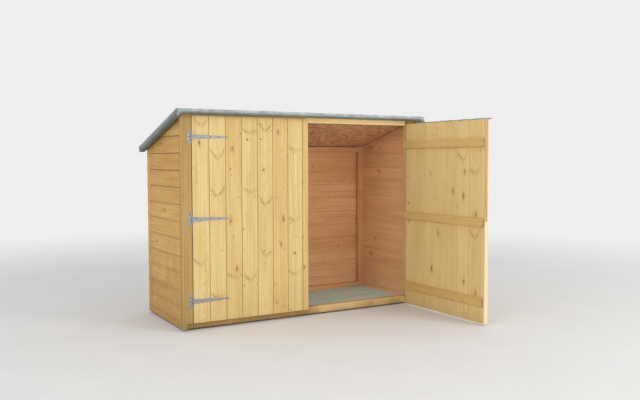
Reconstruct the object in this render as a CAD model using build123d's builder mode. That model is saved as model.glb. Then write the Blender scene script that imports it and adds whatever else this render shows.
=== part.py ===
# Timber bike shelter: a low store with a single-slope felted roof and two hinged doors.
# Units are millimetres. +X runs along the front to the right, +Y goes to the back, +Z is up.
# The origin is on the ground, in the middle of the footprint.
import os
from math import cos, radians, sin, tan

from build123d import *

# Whole shelter
shelter_width = 1830.0      # over the side boards
shelter_depth = 700.0       # face of the front frame to the face of the back boards
roof_top = 1416.0           # top of the felt at its front edge
roof_pitch = 15.5           # degrees, falling to the back
frame_lift = 12.0           # underside of the walls above the ground

# Floor
bearer_width = 38.0
bearer_height = 28.0
bearer_end_inset = 30.0     # from the shelter's ends
bearer_edge_inset = 30.0    # from the floor's long edges to the outer bearers' middles
floor_thickness = 10.0

# Front frame
corner_board_width = 73.0
corner_board_thickness = 22.0
corner_board_lap = 8.0      # how far it stands out past the side boards
corner_board_leg = 34.0     # what is left of its width beside the notch for the sill
corner_notch_height = 37.0
front_timber_depth = 28.0   # lintel and studs
sill_height = 50.0
sill_depth = 45.0
lintel_drop = 67.0          # roof top down to the lintel's underside

# Overlap boards on the sides and the back
board_pitch = 110.0
board_thickness = 9.0
board_lean = 7.0            # how far a board leans in over one pitch
board_lap = 18.0
side_sill_height = 52.0
side_sill_setback = 2.0
first_side_board = 86.0     # what shows of the lowest side board

# Back frame
back_stud_width = 62.0
back_stud_depth = 34.0
back_middle_stud_width = 45.0
back_bottom_rail_height = 60.0
back_top_rail_height = 41.0  # at its front face

# Roof
overhang_front = 75.0
overhang_back = 30.0
overhang_side = 48.0
roof_board_thickness = 9.0
felt_thickness = 2.0
felt_edge_radius = 3.5
lip_batten_height = 17.5    # front and back battens
lip_batten_depth = 18.0
verge_batten_height = 29.0  # side battens
verge_gap = 4.0             # side battens to the corner boards below them

# Doors
door_side_gap = 5.0         # closed door to the corner board beside it
door_gap = 6.0              # between the closed doors
door_thickness = 16.0
left_door_bottom = 49.0
left_door_top_gap = 41.0    # roof top down to the left door's top edge
right_door_drop = 37.0      # how much lower the right door's bottom hangs
right_door_top_gap = 59.0
right_door_opened = 91.0    # degrees, as it stands in the model
door_board_cover = 114.0
groove_depth = 2.5
edge_groove_width = 4.5     # along the closing edge
edge_groove_depth = 5.0
ledge_height = 55.0
ledge_thickness = 18.0
ledge_edge_chamfer = 3.0
ledge_from_bottom = 141.0   # door's bottom edge to the lowest ledge's middle
ledge_from_top = 152.0      # right door's top edge to the highest ledge's middle
ledge_jamb_clearance = 6.0
ledge_free_inset = 15.0
closing_lath_width = 30.0   # on the right door's face, along its free edge
closing_lath_thickness = 12.0
closing_lath_chamfer = 3.0

# Tee hinges
pin_standoff = 5.0          # pin in front of the faces that the hinge is screwed to
knuckle_radius = 4.5
pin_radius = 2.5
pin_clearance = 0.3
knuckle_gap = 0.5
plate_knuckle_height = 12.0
strap_length = 250.0
strap_root_width = 32.0
strap_tip_width = 11.0
strap_thickness = 2.5
strap_holes = ((0.11, 6.0), (0.24, -5.0), (0.51, 0.0), (0.74, 0.0), (0.955, 0.0))  # share of its length, rise
plate_width = 27.0          # from the pin
plate_height = 82.0
plate_thickness = 2.5
plate_hole_spacing = 28.0
knuckle_relief = 1.0        # plate's edge to the turning knuckle
plate_corner_radius = 4.0
screw_hole_radius = 2.4

# Worked out from the sizes above
half_width = shelter_width / 2
front_y = -shelter_depth / 2
back_y = shelter_depth / 2
frame_top = frame_lift + sill_height
floor_top = bearer_height + floor_thickness
wall_thickness = board_thickness + board_lean * (board_pitch + board_lap) / board_pitch
stud_front_y = back_y - wall_thickness - back_stud_depth
side_length = stud_front_y - front_y
side_board_bottom = frame_lift + side_sill_height
floor_front_y = front_y + sill_depth
opening_inset = corner_board_width - corner_board_lap
opening_half = half_width - opening_inset
lintel_underside = roof_top - lintel_drop

pitch = radians(roof_pitch)
roof_run = (overhang_front + shelter_depth + overhang_back) / cos(pitch)
roof_half = half_width + overhang_side
lip_height = felt_thickness + roof_board_thickness + lip_batten_height
verge_height = felt_thickness + roof_board_thickness + verge_batten_height
roof_underside_front = roof_top - (felt_thickness + roof_board_thickness) / cos(pitch)
back_rail_run = overhang_front + stud_front_y - front_y
back_rail_underside = roof_underside_front - back_rail_run * tan(pitch) - back_top_rail_height
roof_plane = Plane(
    origin=(0, front_y - overhang_front, roof_top), x_dir=(1, 0, 0), z_dir=(0, sin(pitch), cos(pitch))
)
roof_underside = roof_plane.offset(-(felt_thickness + roof_board_thickness))

left_door_top = roof_top - left_door_top_gap
right_door_bottom = left_door_bottom - right_door_drop
right_door_top = roof_top - right_door_top_gap
ledge_low = ledge_from_bottom
ledge_high = right_door_top - right_door_bottom - ledge_from_top
ledge_centres = (ledge_low, (ledge_low + ledge_high) / 2, ledge_high)
door_width = (shelter_width - 2 * (opening_inset + door_side_gap) - door_gap) / 2
door_edge = door_side_gap                   # pin to the hinged edge, along the door
door_free_edge = door_edge + door_width
ledge_start = ledge_jamb_clearance
ledge_end = door_free_edge - ledge_free_inset

os.makedirs("parts", exist_ok=True)


def save(builder, name):
    builder.part.label = name
    export_step(builder.part, f"parts/{name}.step")


def box_between(low, high, mode=Mode.ADD):
    """A box from its low corner to its high corner, inside the part being built."""
    size = [b - a for a, b in zip(low, high)]
    middle = tuple((a + b) / 2 for a, b in zip(low, high))
    with Locations(middle):
        Box(*size, mode=mode)


def plain_piece(name, low, high, under_roof=False):
    """A sawn timber, its top cut to the roof's slope where it reaches the roof."""
    with BuildPart() as piece:
        box_between(low, high)
        if under_roof:
            split(bisect_by=roof_underside, keep=Keep.BOTTOM)
    save(piece, name)


# Floor
def floor():
    reach = half_width - bearer_end_inset
    edge = -floor_front_y - bearer_edge_inset
    for name, y in (("front", -edge), ("middle", 0), ("back", edge)):
        plain_piece(
            f"floor_bearer_{name}",
            (-reach, y - bearer_width / 2, 0),
            (reach, y + bearer_width / 2, bearer_height),
        )
    inner = half_width - wall_thickness
    plain_piece("floor", (-inner, floor_front_y, bearer_height), (inner, stud_front_y, floor_top))


# Front frame
def front_frame():
    inside = half_width - wall_thickness
    timber_back = front_y + front_timber_depth
    plain_piece("front_sill", (-inside, front_y, frame_lift), (inside, front_y + sill_depth, frame_top))
    plain_piece(
        "front_lintel",
        (-opening_half, front_y, lintel_underside),
        (opening_half, timber_back, roof_top),
        under_roof=True,
    )
    board_front = front_y - corner_board_thickness
    for side, label in ((-1, "left"), (1, "right")):
        inner = side * opening_half
        outer = side * (half_width + corner_board_lap)
        notch = side * (half_width + corner_board_lap - corner_board_leg)
        with BuildPart() as board:
            box_between((min(outer, inner), board_front, frame_lift), (max(outer, inner), front_y, roof_top))
            box_between(
                (min(notch, inner), board_front, frame_lift),
                (max(notch, inner), front_y, frame_lift + corner_notch_height),
                mode=Mode.SUBTRACT,
            )
            split(bisect_by=roof_underside, keep=Keep.BOTTOM)
        save(board, f"{label}_corner_board")
        plain_piece(
            f"{label}_front_stud",
            (min(side * inside, inner), front_y, frame_top),
            (max(side * inside, inner), timber_back, roof_top),
            under_roof=True,
        )


# Overlap boards
def overlap_profile(bottom, first_board, top):
    """Outline of a wall of leaning, lapped boards: depth in from the face, and height."""
    starts = [bottom, bottom + first_board]
    while starts[-1] + board_pitch < top:
        starts.append(starts[-1] + board_pitch)
    slope = board_lean / board_pitch
    face = []
    for start, end in zip(starts, starts[1:] + [top]):
        face += [(0, start), (slope * (end - start), end)]
    inside = [(board_thickness, bottom)]
    for start, next_start in zip(starts, starts[1:]):
        lap_end = next_start + board_lap
        if lap_end < top:
            inside.append((board_thickness + slope * (lap_end - start), lap_end))
            inside.append((board_thickness + slope * board_lap, lap_end))
            last = next_start
    inside.append((board_thickness + slope * (top - last), top))
    return face + inside[::-1]


def side_walls():
    profile = overlap_profile(side_board_bottom, first_side_board, roof_top)
    end_plane = Plane(origin=(0, stud_front_y, 0), x_dir=(1, 0, 0), z_dir=(0, -1, 0))
    for side, label in ((-1, "left"), (1, "right")):
        with BuildPart() as wall:
            with BuildSketch(end_plane):
                with BuildLine():
                    Polyline([(side * (half_width - depth), z) for depth, z in profile], close=True)
                make_face()
            extrude(amount=side_length)
            split(bisect_by=roof_underside, keep=Keep.BOTTOM)
        save(wall, f"{label}_wall")
        outer = side * (half_width - side_sill_setback)
        inner = side * (half_width - wall_thickness)
        plain_piece(
            f"{label}_side_sill",
            (min(outer, inner), front_y, frame_lift),
            (max(outer, inner), stud_front_y, side_board_bottom),
        )


def back_wall():
    profile = overlap_profile(frame_lift, board_pitch, roof_top)
    with BuildPart() as wall:
        with BuildSketch(Plane(origin=(-half_width, 0, 0), x_dir=(0, 1, 0), z_dir=(1, 0, 0))):
            with BuildLine():
                Polyline([(back_y - depth, z) for depth, z in profile], close=True)
            make_face()
        extrude(amount=shelter_width)
        split(bisect_by=roof_underside, keep=Keep.BOTTOM)
    save(wall, "back_wall")

    stud_back_y = stud_front_y + back_stud_depth
    rail_end = half_width - back_stud_width
    rail_top = frame_lift + back_bottom_rail_height
    for side, label in ((-1, "left"), (1, "right")):
        outer = side * half_width
        inner = side * rail_end
        plain_piece(
            f"back_{label}_stud",
            (min(outer, inner), stud_front_y, frame_lift),
            (max(outer, inner), stud_back_y, roof_top),
            under_roof=True,
        )
    plain_piece("back_bottom_rail", (-rail_end, stud_front_y, frame_lift), (rail_end, stud_back_y, rail_top))
    plain_piece(
        "back_top_rail",
        (-rail_end, stud_front_y, back_rail_underside),
        (rail_end, stud_back_y, roof_top),
        under_roof=True,
    )
    plain_piece(
        "back_middle_stud",
        (-back_middle_stud_width / 2, stud_front_y, rail_top),
        (back_middle_stud_width / 2, stud_back_y, back_rail_underside),
    )


# Roof
def roof_slab(plane, across, along, amount, mode=Mode.ADD):
    """A flat piece in the roof's slope, from (low, high) across and (low, high) down the slope."""
    with BuildSketch(plane) as outline:
        with Locations((sum(across) / 2, sum(along) / 2)):
            Rectangle(across[1] - across[0], along[1] - along[0])
    extrude(outline.sketch, amount=amount, mode=mode)


def roof():
    cover_half = roof_half - felt_thickness
    cover_end = roof_run - felt_thickness
    with BuildPart() as board:
        roof_slab(roof_underside, (-cover_half, cover_half), (felt_thickness, cover_end), roof_board_thickness)
    save(board, "roof_board")

    verge_inner = half_width + corner_board_lap + verge_gap
    lip_front = (felt_thickness, felt_thickness + lip_batten_depth)
    lip_back = (cover_end - lip_batten_depth, cover_end)
    full_run = (felt_thickness, cover_end)
    battens = {
        "roof_batten_left": ((-cover_half, -verge_inner), full_run, verge_batten_height),
        "roof_batten_right": ((verge_inner, cover_half), full_run, verge_batten_height),
        "roof_batten_front": ((-verge_inner, verge_inner), lip_front, lip_batten_height),
        "roof_batten_back": ((-verge_inner, verge_inner), lip_back, lip_batten_height),
    }
    for name, (across, along, height) in battens.items():
        with BuildPart() as batten:
            roof_slab(roof_underside, across, along, -height)
        save(batten, name)

    with BuildPart() as felt:
        roof_slab(roof_plane, (-roof_half, roof_half), (0, roof_run), -(lip_height + felt_thickness))
        fillet(felt.edges().group_by(SortBy.LENGTH)[-1].sort_by(Axis.Z)[-1:], felt_edge_radius)
        for side in (-1, 1):
            edges = sorted((side * verge_inner, side * roof_half))
            roof_slab(roof_plane.offset(-lip_height), edges, (0, roof_run), -(verge_height - lip_height + felt_thickness))
        inside_lip = lip_height - felt_thickness
        inside_verge = verge_height - felt_thickness
        roof_slab(
            roof_plane.offset(-felt_thickness), (-cover_half, cover_half), full_run, -inside_lip, mode=Mode.SUBTRACT
        )
        for side in (-1, 1):
            edges = sorted((side * verge_inner, side * cover_half))
            roof_slab(roof_plane.offset(-felt_thickness), edges, full_run, -inside_verge, mode=Mode.SUBTRACT)
        roof_slab(
            roof_plane.offset(-lip_height),
            (-verge_inner, verge_inner),
            (lip_front[1], lip_back[0]),
            -felt_thickness,
            mode=Mode.SUBTRACT,
        )
    save(felt, "roof_felt")


# Doors. Each door is drawn from its hinge pin: along the door, then in towards the store.
def hinge_plane(side, opened):
    """Plane on the hinge pin, its x along the door. side is -1 for the left door, 1 for the right."""
    along = Vector(-side, 0, 0).rotate(Axis.Z, side * opened)
    origin = (side * opening_half, front_y - corner_board_thickness - pin_standoff, 0)
    return Plane(origin=origin, x_dir=along, z_dir=(0, 0, 1))


def door(side, label, bottom, top, opened):
    plane = hinge_plane(side, opened)
    inward = -side
    board_face = pin_standoff
    board_back = pin_standoff + door_thickness
    joints = []
    joint = door_edge + door_board_cover
    while joint < door_free_edge:
        joints.append(joint)
        joint += door_board_cover
    with BuildPart() as boards:
        with BuildSketch(plane.offset(bottom)):
            with Locations(((door_edge + door_free_edge) / 2, inward * (board_face + board_back) / 2)):
                Rectangle(door_width, door_thickness)
            for face in (board_face, board_back):
                with Locations(*[(x, inward * face) for x in joints]):
                    Rectangle(groove_depth * 2**0.5, groove_depth * 2**0.5, rotation=45, mode=Mode.SUBTRACT)
            with Locations((door_free_edge, inward * (board_face + board_back) / 2)):
                Rectangle(2 * edge_groove_depth, edge_groove_width, mode=Mode.SUBTRACT)
        extrude(amount=top - bottom)
    save(boards, f"{label}_door_boards")

    for place, height in zip(("bottom", "middle", "top"), ledge_centres):
        with BuildPart() as ledge:
            with BuildSketch(plane.offset(bottom + height - ledge_height / 2)):
                with Locations(((ledge_start + ledge_end) / 2, inward * (board_back + ledge_thickness / 2))):
                    Rectangle(ledge_end - ledge_start, ledge_thickness)
            extrude(amount=ledge_height)
            room_side = Vector(plane.y_dir) * inward
            inner_face = ledge.faces().filter_by(lambda f: f.normal_at().dot(room_side) > 0.9)
            chamfer(inner_face.edges(), ledge_edge_chamfer)
        save(ledge, f"{label}_door_ledge_{place}")


def closing_lath(side, label, bottom, top, opened):
    """The strip nailed on a door's face along its free edge."""
    plane = hinge_plane(side, opened)
    inward = -side
    lath_middle = door_free_edge - closing_lath_width / 2
    with BuildPart() as lath:
        with BuildSketch(plane.offset(bottom)):
            with Locations((lath_middle, inward * (pin_standoff - closing_lath_thickness / 2))):
                Rectangle(closing_lath_width, closing_lath_thickness)
        extrude(amount=top - bottom)
        outside = Vector(plane.y_dir) * -inward
        outer_face = lath.faces().filter_by(lambda f: f.normal_at().dot(outside) > 0.9)
        chamfer(outer_face.edges().filter_by(Axis.Z), closing_lath_chamfer)
    save(lath, f"{label}_door_closing_lath")


# Tee hinges
def strap(side, label, place, height, opened):
    plane = hinge_plane(side, opened)
    back = plane.y_dir * -side * pin_standoff
    outline_plane = Plane(
        origin=plane.origin + back + Vector(0, 0, height),
        x_dir=plane.x_dir,
        z_dir=plane.x_dir.cross(Vector(0, 0, 1)),
    )
    with BuildPart() as piece:
        with BuildSketch(outline_plane):
            with BuildLine():
                Polyline(
                    (0, -strap_root_width / 2),
                    (strap_length, -strap_tip_width / 2),
                    (strap_length, strap_tip_width / 2),
                    (0, strap_root_width / 2),
                    close=True,
                )
            outline = make_face()
            tip = outline.vertices().sort_by(SortBy.DISTANCE)[-2:]
            fillet(tip, strap_tip_width / 2 - 0.5)
            with Locations(*[(strap_length * share, rise) for share, rise in strap_holes]):
                Circle(screw_hole_radius, mode=Mode.SUBTRACT)
        extrude(amount=-side * strap_thickness)
        with BuildSketch(plane.offset(height - strap_root_width / 2)):
            Circle(knuckle_radius)
        extrude(amount=strap_root_width)
        with BuildSketch(plane.offset(height - strap_root_width / 2)):
            Circle(pin_radius + pin_clearance)
        extrude(amount=strap_root_width, mode=Mode.SUBTRACT)
    save(piece, f"{label}_hinge_strap_{place}")


def plate(side, label, place, height):
    plane = hinge_plane(side, 0)
    inward = -side
    turning_half = strap_root_width / 2 + knuckle_gap
    barrel_half = turning_half + plate_knuckle_height
    face_plane = Plane(
        origin=plane.origin + Vector(0, pin_standoff, height), x_dir=(1, 0, 0), z_dir=(0, -1, 0)
    )
    with BuildPart() as piece:
        with BuildSketch(face_plane):
            with Locations((side * plate_width / 2, 0)):
                outline = Rectangle(plate_width, plate_height)
            outer_corners = outline.vertices().sort_by(Axis.X)[slice(0, 2) if side < 0 else slice(2, 4)]
            fillet(outer_corners, plate_corner_radius)
            with Locations((0, 0)):
                Rectangle(2 * (knuckle_radius + knuckle_relief), 2 * turning_half, mode=Mode.SUBTRACT)
            with Locations(*[(side * plate_width * 0.55, step * plate_hole_spacing) for step in (-1, 0, 1)]):
                Circle(screw_hole_radius, mode=Mode.SUBTRACT)
        extrude(amount=plate_thickness)
        for low in (height - barrel_half, height + turning_half):
            with BuildSketch(plane.offset(low)):
                Circle(knuckle_radius)
            extrude(amount=plate_knuckle_height)
        with BuildSketch(plane.offset(height - barrel_half)):
            Circle(pin_radius)
        extrude(amount=2 * barrel_half)
    save(piece, f"{label}_hinge_plate_{place}")


def doors_and_hinges():
    doors = (
        (-1, "left", left_door_bottom, left_door_top, 0.0),
        (1, "right", right_door_bottom, right_door_top, right_door_opened),
    )
    for side, label, bottom, top, opened in doors:
        door(side, label, bottom, top, opened)
        for place, height in zip(("bottom", "middle", "top"), ledge_centres):
            strap(side, label, place, bottom + height, opened)
            plate(side, label, place, bottom + height)
    closing_lath(1, "right", right_door_bottom, right_door_top, right_door_opened)


floor()
front_frame()
side_walls()
back_wall()
roof()
doors_and_hinges()
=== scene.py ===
"""Timber bike shelter: overlap sides, felted single-slope roof, two matchboard doors on tee hinges."""
import math
import random

import bmesh
import bpy
from mathutils import Matrix, Vector, noise


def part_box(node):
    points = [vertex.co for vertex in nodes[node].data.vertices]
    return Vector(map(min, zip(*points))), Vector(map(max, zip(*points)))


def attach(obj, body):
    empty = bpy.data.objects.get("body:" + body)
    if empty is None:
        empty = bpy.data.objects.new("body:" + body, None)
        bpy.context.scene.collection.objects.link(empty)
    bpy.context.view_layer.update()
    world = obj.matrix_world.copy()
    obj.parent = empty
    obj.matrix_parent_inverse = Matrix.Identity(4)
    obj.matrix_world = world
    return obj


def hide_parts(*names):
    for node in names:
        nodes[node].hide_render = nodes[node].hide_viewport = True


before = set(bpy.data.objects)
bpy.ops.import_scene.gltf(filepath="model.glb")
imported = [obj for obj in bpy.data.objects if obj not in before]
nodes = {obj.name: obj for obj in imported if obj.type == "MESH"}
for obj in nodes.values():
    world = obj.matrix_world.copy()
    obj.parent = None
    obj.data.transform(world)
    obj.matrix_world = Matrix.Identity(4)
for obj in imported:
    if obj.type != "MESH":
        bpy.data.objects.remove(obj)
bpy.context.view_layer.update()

MM = 0.001
chance = random.Random(41)

# Sizes shared with the solids, in millimetres
HALF_WIDTH = 915.0
FRONT, BACK = -350.0, 350.0
ROOF_TOP = 1416.0
ROOF_PITCH = math.radians(15.5)
ROOF_FRONT, ROOF_BACK = FRONT - 75.0, BACK + 30.0
ROOF_RUN = (ROOF_BACK - ROOF_FRONT) / math.cos(ROOF_PITCH)
ROOF_HALF = HALF_WIDTH + 48.0
FELT, ROOF_BOARD = 2.0, 9.0
LIP_HEIGHT, LIP_DEPTH = 17.5, 18.0
VERGE_HEIGHT = 29.0
VERGE_INNER = HALF_WIDTH + 12.0
LIP_DROP = FELT + ROOF_BOARD + LIP_HEIGHT + FELT
VERGE_DROP = FELT + ROOF_BOARD + VERGE_HEIGHT + FELT
CORNER_LEG, CORNER_NOTCH = 34.0, 37.0
BOARD_PITCH, BOARD_LAP = 110.0, 18.0
BOARD_THICKNESS, BOARD_TOP_THICKNESS = 9.0, 6.4
BOARD_LEAN = 7.0 / BOARD_PITCH
SIDE_FOOT, FIRST_SIDE_BOARD, BACK_FOOT = 64.0, 86.0, 12.0
PIN_X, PIN_Y = 850.0, FRONT - 27.0
PLATE_HOLES_OUT, PLATE_HOLE_PITCH = 14.85, 28.0
HINGE_HEIGHTS = {"bottom": 141.0, "middle": 667.0, "top": 1193.0}
STRAP_HOLES = ((27.5, 6.0), (60.0, -5.0), (127.5, 0.0), (185.0, 0.0), (238.75, 0.0))
STRAP_END = 262.0
DOORS = {
    "left": {"side": -1, "bottom": 49.0, "top": 1375.0, "opened": 0.0},
    "right": {"side": 1, "bottom": 12.0, "top": 1357.0, "opened": 91.0},
}
DOOR_EDGE, DOOR_WIDTH = 5.0, 842.0
CLOSING_EDGE = DOOR_EDGE + DOOR_WIDTH
DOOR_FACE, DOOR_THICKNESS = 5.0, 16.0
DOOR_BACK = DOOR_FACE + DOOR_THICKNESS
MATCHBOARD = 114.0
LEDGE_START, LEDGE_END = 6.0, CLOSING_EDGE - 15.0
LEDGE_TALL, LEDGE_THICK = 55.0, 18.0
LATH_WIDTH, LATH_THICKNESS = 30.0, 12.0
# Off every board: where a mark goes that the board doesn't have
NOWHERE = 900.0

# What tells the doors' boards apart, board by board from the hinges. Knots stand at heights above the foot.
DOOR_MARKS = {
    "left": [0.131, 0.274, 0.817, 0.402, 0.556, 0.689, 0.348, 0.903],
    "right": [0.215, 0.763, 0.467, 0.092, 0.631, 0.528, 0.849, 0.377],
}
DOOR_TONES = {
    "left": [0.30, 0.26, 0.66, 0.42, 0.36, 0.68, 0.34, 0.70],
    "right": [0.40, 0.62, 0.30, 0.46, 0.66, 0.34, 0.50, 0.15],
}
SPIKE_KNOTS = {
    "left": [(373, 1262), (1053, 809, 150), (273,), (1220, 829, 246), (1238, 744, 404), (), (627, 255, 1110), ()],
    "right": [(), (), (), (), (), (1075,), (990, 560), ()],
}
EYE_KNOTS = {
    "left": [(1156,), (), (1120, 646, 330), (), (), (468, 645, 1230), (), (300,)],
    "right": [(640,), (1180,), (980, 300), (560,), (866, 130), (1000, 832, 255), (720, 190), ()],
}


def srgb(red, green, blue):
    """A colour as seen (0 to 255) turned into the linear one a shader takes."""
    linear = [(c / 255 / 12.92) if c <= 10 else ((c / 255 + 0.055) / 1.055) ** 2.4 for c in (red, green, blue)]
    return (*linear, 1.0)


def wander(x, y, z=0.0):
    """Smooth noise from -1 to 1, the same at each run."""
    return noise.noise(Vector((x, y, z)))


# ---- shader building ----
class Wire:
    """A value in a shader tree. Sums with it lay Math nodes into the tree."""

    def __init__(self, net, socket):
        self.net, self.socket = net, socket

    def __add__(self, other):
        return self.net.math("ADD", self, other)

    def __sub__(self, other):
        return self.net.math("SUBTRACT", self, other)

    def __mul__(self, other):
        return self.net.math("MULTIPLY", self, other)

    def __truediv__(self, other):
        return self.net.math("DIVIDE", self, other)

    def __pow__(self, other):
        return self.net.math("POWER", self, other)

    def __gt__(self, other):
        return self.net.math("GREATER_THAN", self, other)

    def __lt__(self, other):
        return self.net.math("LESS_THAN", self, other)

    def __abs__(self):
        return self.net.math("ABSOLUTE", self)


class Net:
    """Short calls for laying nodes into one shader tree."""

    def __init__(self, tree):
        self.tree = tree

    def feed(self, socket, value):
        if isinstance(value, Wire):
            self.tree.links.new(value.socket, socket)
        elif value is not None:
            socket.default_value = value

    def node(self, kind, inputs=(), **settings):
        made = self.tree.nodes.new(kind)
        for key, value in settings.items():
            setattr(made, key, value)
        for key, value in dict(inputs).items():
            self.feed(made.inputs[key], value)
        return made

    def place(self, kind, inputs=(), output=0, **settings):
        """A new node's output."""
        return Wire(self, self.node(kind, inputs, **settings).outputs[output])

    def split(self, kind, value):
        return [Wire(self, socket) for socket in self.node(kind, {0: value}).outputs]

    def parts(self, vector):
        return self.split("ShaderNodeSeparateXYZ", vector)

    def here(self):
        """The place on the piece, in metres."""
        return self.place("ShaderNodeTexCoord", output="Object")

    def joined(self, x, y, z=0.0):
        return self.place("ShaderNodeCombineXYZ", {0: x, 1: y, 2: z})

    def math(self, operation, a, b=None, c=None):
        return self.place("ShaderNodeMath", {0: a, 1: b, 2: c}, operation=operation)

    def most(self, first, *others):
        for other in others:
            first = self.math("MAXIMUM", first, other)
        return first

    def vector(self, operation, a, b=None):
        output = "Value" if operation == "LENGTH" else "Vector"
        return self.place("ShaderNodeVectorMath", {0: a, 1: b}, output, operation=operation)

    def scaled(self, vector, factors, shift=None):
        moved = vector if shift is None else self.vector("ADD", vector, shift)
        return self.vector("MULTIPLY", moved, factors)

    def noise(self, vector, detail=2.0, roughness=0.5):
        inputs = {"Vector": vector, "Scale": 1.0, "Detail": detail, "Roughness": roughness}
        return self.place("ShaderNodeTexNoise", inputs)

    def cells(self, vector, dims="3D"):
        """The nearest cell's three chances, its middle and the distance to it."""
        made = self.node("ShaderNodeTexVoronoi", {"Vector": vector, "Scale": 1.0}, voronoi_dimensions=dims)
        tint, middle, far = (Wire(self, made.outputs[key]) for key in ("Color", "Position", "Distance"))
        return self.split("ShaderNodeSeparateColor", tint), middle, far

    def dice(self, seed, dims="3D"):
        """Three chances, the same wherever the seed is the same."""
        inputs = {"Vector" if dims == "3D" else "W": seed}
        tint = self.place("ShaderNodeTexWhiteNoise", inputs, "Color", noise_dimensions=dims)
        return self.split("ShaderNodeSeparateColor", tint)

    def mix(self, share, a, b):
        made = self.node("ShaderNodeMix", data_type="RGBA")
        sockets = {socket.identifier: socket for socket in (*made.inputs, *made.outputs)}
        for key, value in (("Factor_Float", share), ("A_Color", a), ("B_Color", b)):
            self.feed(sockets[key], value)
        return Wire(self, sockets["Result_Color"])

    def remap(self, value, low, high, to_low=0.0, to_high=1.0):
        inputs = {0: value, 1: low, 2: high, 3: to_low, 4: to_high}
        return self.place("ShaderNodeMapRange", inputs, interpolation_type="SMOOTHSTEP")

    def seen(self):
        """1 for what looks at a surface straight or by reflection, 0 for the light that bounces off it."""
        rays = self.node("ShaderNodeLightPath").outputs
        return self.most(*(Wire(self, rays[f"Is {kind} Ray"]) for kind in ("Camera", "Glossy", "Transmission")))

    def give(self, **values):
        """The group's outputs, by name."""
        out = self.tree.nodes.new("NodeGroupOutput").inputs
        for label, value in values.items():
            self.feed(out[label], value)
        return self.tree


SOCKETS = {"vector": "NodeSocketVector", "number": "NodeSocketFloat", "colour": "NodeSocketColor"}
SURFACE = {"colour": ("Color",), "number": ("Roughness", "Height")}


def new_group(name, takes, gives):
    tree = bpy.data.node_groups.new(name, "ShaderNodeTree")
    for way, sockets in (("INPUT", takes), ("OUTPUT", gives)):
        for kind, labels in sockets.items():
            for label in labels:
                tree.interface.new_socket(label, in_out=way, socket_type=SOCKETS[kind])
    net = Net(tree)
    return net, {socket.name: Wire(net, socket) for socket in tree.nodes.new("NodeGroupInput").outputs}


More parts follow.
